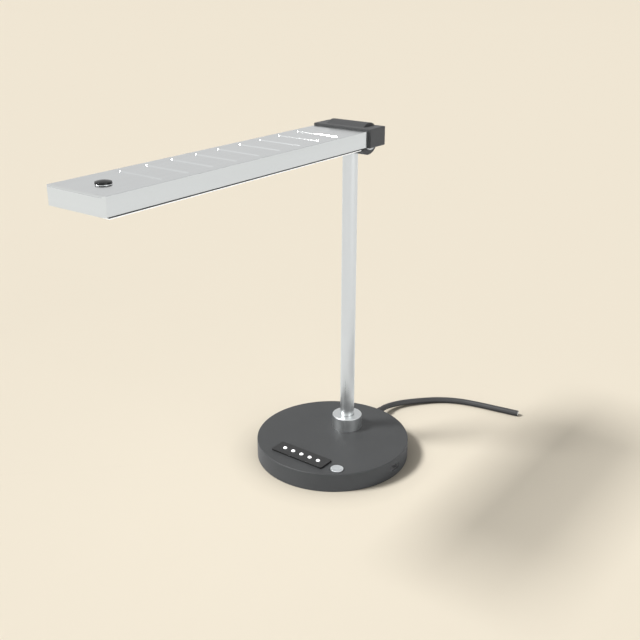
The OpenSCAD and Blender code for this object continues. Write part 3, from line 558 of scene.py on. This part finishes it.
def rubber(name, colour, rough, underside_shade=1.0):
    """Matt rubber, fibre or flexible plastic, dusty on top; what faces down may get painted shade."""
    material, tree, shader = start_material(name)
    fine = use_group(tree, GRAIN, Scale=RUBBER_GRAIN)
    dust_and_shade = use_group(tree, DUST_AND_SHADE)
    dusty = shade(colour, DUSTY_SHADE, DUSTY_LIFT)
    top = mix_colour(tree, fine["Cloud"], colour, dusty)
    # Painted shade on what faces down, dust on what faces up
    body = mix_colour(tree, dust_and_shade["Mask"], shade(colour, underside_shade), top)
    surface = grained_rough(tree, fine["Grain"], rough, MATT_SPREAD)
    tree.links.new(body, shader.inputs["Base Color"])
    tree.links.new(surface, shader.inputs["Roughness"])
    tree.links.new(bump(tree, fine["Grain"], *RUBBER_BUMP), shader.inputs["Normal"])
    return name, material


def board(name, colour, track_colour):
    """Circuit board with tracks a little paler than the mask between them."""
    material, tree, shader = start_material(name)
    fine = use_group(tree, GRAIN, Scale=BOARD_GRAIN)
    cells = add(tree, "ShaderNodeTexVoronoi", distance="CHEBYCHEV", feature="DISTANCE_TO_EDGE")
    cells.inputs["Scale"].default_value = TRACK_SCALE
    tree.links.new(coordinate(tree, "Object"), cells.inputs["Vector"])
    track = map_range(tree, cells.outputs["Distance"], *TRACK_SPAN, 1.0, 0.0)
    body = mix_colour(tree, fine["Cloud"], colour, shade(colour, BOARD_SHADE))
    surface = map_range(tree, fine["Grain"], *NOISE_SPAN, *BOARD_ROUGH)
    tree.links.new(mix_colour(tree, track, body, track_colour), shader.inputs["Base Color"])
    tree.links.new(surface, shader.inputs["Roughness"])
    tree.links.new(bump(tree, track, *TRACK_BUMP), shader.inputs["Normal"])
    return name, material


def make_moulded():
    """Plastics of the base, hinge and buttons, and of what is inside."""
    base = (0.057, 0.059, 0.060, 1.0)
    barrel = (0.073, 0.074, 0.075, 1.0)
    cover = (0.09, 0.091, 0.092, 1.0)
    off_white = (0.78, 0.77, 0.72, 1.0)
    return [
        plastic("base_plastic", base, 0.5, lift=1.15),
        plastic("barrel_plastic", barrel, 0.52, lift=1.15, gloss=0.3),
        plastic(
            "cover_with_painted_lip_shade",
            cover,
            0.52,
            edge=0.0006,
            lift=1.2,
            gloss=0.3,
            tones=COVER_TONES,
            # The hinge cover's front lip gets painted shade
            painted_lip_shade=LIP_PAINTED_SHADE,
        ),
        plastic("cover_plastic", grey(0.05), 0.55, depth=0.00004),
        plastic("panel_plastic", grey(0.014), 0.32, edge=0.0003, lift=1.0),
        plastic(
            "button_black",
            grey(0.016),
            0.2,
            depth=0.000004,
            edge=0.0006,
            lift=1.6,
            gloss=0.25,
        ),
        plastic("nylon", off_white, 0.45, lift=1.1),
        plastic("electronics_black", grey(0.02), 0.5, lift=1.5),
        plastic("tongue_grey", grey(0.6), 0.5, lift=1.1),
    ]


def make_metals():
    """Aluminium, steel and plated metal."""
    silver = (0.78, 0.80, 0.80, 1.0)
    end_silver = (0.83, 0.85, 0.84, 1.0)
    collar_silver = (0.75, 0.77, 0.77, 1.0)
    button_silver = (0.69, 0.71, 0.72, 1.0)
    steel = (0.62, 0.63, 0.64, 1.0)
    dark_steel = (0.28, 0.29, 0.3, 1.0)
    chrome = (0.86, 0.87, 0.88, 1.0)
    tin = (0.66, 0.65, 0.62, 1.0)
    nickel = (0.55, 0.55, 0.56, 1.0)
    return [
        metal("bar_aluminium", silver, 0.16, ALONG_BAR, streak=0.004, edge=0.0001, vary=0.01, cuts=0.05),
        metal("end_aluminium", end_silver, 0.12, ALONG_AXLE, streak=0.01, vary=0.015),
        metal("pole_aluminium", silver, 0.3, ALONG_POLE, streak=0.02, vary=0.02),
        metal("collar_aluminium", collar_silver, 0.36, EVEN, streak=0.02, vary=0.02),
        metal("button_silver", button_silver, 0.34, EVEN, streak=0.04, vary=0.03),
        metal("steel", steel, 0.32, ALONG_AXLE),
        metal("weight_steel", dark_steel, 0.5, EVEN, lift=1.4),
        metal("chrome", chrome, 0.1, EVEN, streak=0.05),
        metal("tinned_wire", tin, 0.35, EVEN),
        metal("socket_nickel", nickel, 0.4, EVEN, lift=1.2),
    ]


def make_lit_and_soft():
    """Lit lenses and chips, rubbers and boards."""
    white = (1.0, 1.0, 1.0, 1.0)
    warm_white = (0.9, 0.9, 0.88, 1.0)
    phosphor = (0.95, 0.8, 0.35, 1.0)
    fibre = (0.42, 0.33, 0.17, 1.0)
    green = (0.012, 0.09, 0.035, 1.0)
    pale_green = (0.03, 0.16, 0.06, 1.0)
    white_mask = (0.72, 0.73, 0.72, 1.0)
    white_track = (0.8, 0.8, 0.79, 1.0)
    return [
        glowing("lens_white", white, 0.9, 0.3),
        glowing("diffuser_white", warm_white, 0.5, 0.5),
        glowing("light_chip", phosphor, 0.3, 0.35),
        rubber("rubber_black", grey(0.022), 0.7),
        rubber("gasket_rubber", grey(0.02), 0.75),
        # The cord's underside gets painted shade
        rubber("cord_grey", grey(0.049), 0.55, underside_shade=0.25),
        rubber("friction_fibre", fibre, 0.8),
        board("circuit_green", green, pale_green),
        board("light_board", white_mask, white_track),
    ]


# Nodes with a finish of their own in place of their slot's; the hinge cover's also carries painted shade
# on its front lip
OWN_MATERIAL = {
    "bar_shell": "bar_aluminium",
    "bar_end_cap": "end_aluminium",
    "pole_tube": "pole_aluminium",
    "collar": "collar_aluminium",
    "usb_socket": "socket_nickel",
    "usb_tongue": "tongue_grey",
    "hinge_barrel": "barrel_plastic",
    "hinge_cover": "cover_with_painted_lip_shade",
}


def paint(materials, cord, cores):
    """Give each node, the cord and its cut face their materials."""
    slots = {part["node"]: part["material_slot"] for part in frame["record"]["subparts"]}
    for name, piece in nodes.items():
        material = materials[OWN_MATERIAL.get(name, slots[name])]
        piece.data.materials.clear()
        piece.data.materials.append(material)
    cord.data.materials.append(materials["cord_grey"])
    cores.data.materials.append(materials["nylon"])
    cores.data.materials.append(materials["tinned_wire"])


# Floor, lights and sky

def floor_material():
    """Cream to the camera, a little darker close to the lamp, and neutral to everything else."""
    material, tree, shader = start_material("floor")
    seen = add(tree, "ShaderNodeLightPath").outputs["Is Camera Ray"]
    near = add(tree, "ShaderNodeAmbientOcclusion", samples=CONTACT_SAMPLES)
    near.inputs["Distance"].default_value = CONTACT_REACH
    open_share = math_node(tree, "POWER", near.outputs["AO"], CONTACT_POWER)
    shown = mix_colour(tree, open_share, grey(0.0), BACKDROP)
    tree.links.new(mix_colour(tree, seen, BOUNCE, shown), shader.inputs["Base Color"])
    shader.inputs["Roughness"].default_value = 1.0
    shader.inputs["Specular IOR Level"].default_value = 0.0
    return material


def make_floor():
    half = FLOOR_SIZE / 2
    corners = [(-half, -half, 0), (half, -half, 0), (half, half, 0), (-half, half, 0)]
    mesh = bpy.data.meshes.new("floor")
    mesh.from_pydata(corners, [], [(0, 1, 2, 3)])
    floor = bpy.data.objects.new("floor", mesh)
    mesh.materials.append(floor_material())
    scene.collection.objects.link(floor)


def area_light(name, side, power, place):
    """Square light that shines straight down."""
    data = bpy.data.lights.new(name, "AREA")
    data.shape = "SQUARE"
    data.size = side
    data.energy = power
    light = bpy.data.objects.new(name, data)
    light.location = place
    scene.collection.objects.link(light)
    return light


def make_lights():
    """Key high up at the front left, and a fill low on the right that is turned to the lamp."""
    key_place = (-KEY_SLOPE[0] * KEY_HEIGHT, -KEY_SLOPE[1] * KEY_HEIGHT, KEY_HEIGHT)
    area_light("key", KEY_SIDE, KEY_POWER, key_place)
    fill = area_light("fill", FILL_SIDE, FILL_POWER, FILL_PLACE)
    fill.rotation_euler = (-Vector(FILL_PLACE)).to_track_quat("-Z", "Y").to_euler()
    fill.visible_camera = False


def make_world():
    """Even sky for soft fill.

    The camera sees the backdrop, and polished metal a room that is brighter towards the key.
    """
    world = bpy.data.worlds.new("sky")
    world.use_nodes = True
    scene.world = world
    tree = world.node_tree
    back = tree.nodes["Background"]
    path = add(tree, "ShaderNodeLightPath").outputs
    to_key = Vector((-KEY_SLOPE[0], -KEY_SLOPE[1], 1.0)).normalized()
    towards = vector_math(tree, "DOT_PRODUCT", coordinate(tree, "Generated"), to_key)["Value"]
    near_key = map_range(tree, towards, GLOW_EDGE, 1.0)
    room = mix_colour(tree, near_key, grey(SKY_GLOSS), grey(SKY_GLOW))
    sky = mix_colour(tree, path["Is Glossy Ray"], grey(SKY_LEVEL), room)
    shown = mix_colour(tree, path["Is Camera Ray"], sky, BACKDROP)
    tree.links.new(shown, back.inputs["Color"])
    back.inputs["Strength"].default_value = 1.0


def set_view():
    scene.view_settings.view_transform = "Standard"


make_camera()
cord_piece, core_piece = make_cord()
paint(dict(make_moulded() + make_metals() + make_lit_and_soft()), cord_piece, core_piece)
make_floor()
make_lights()
make_world()
set_view()
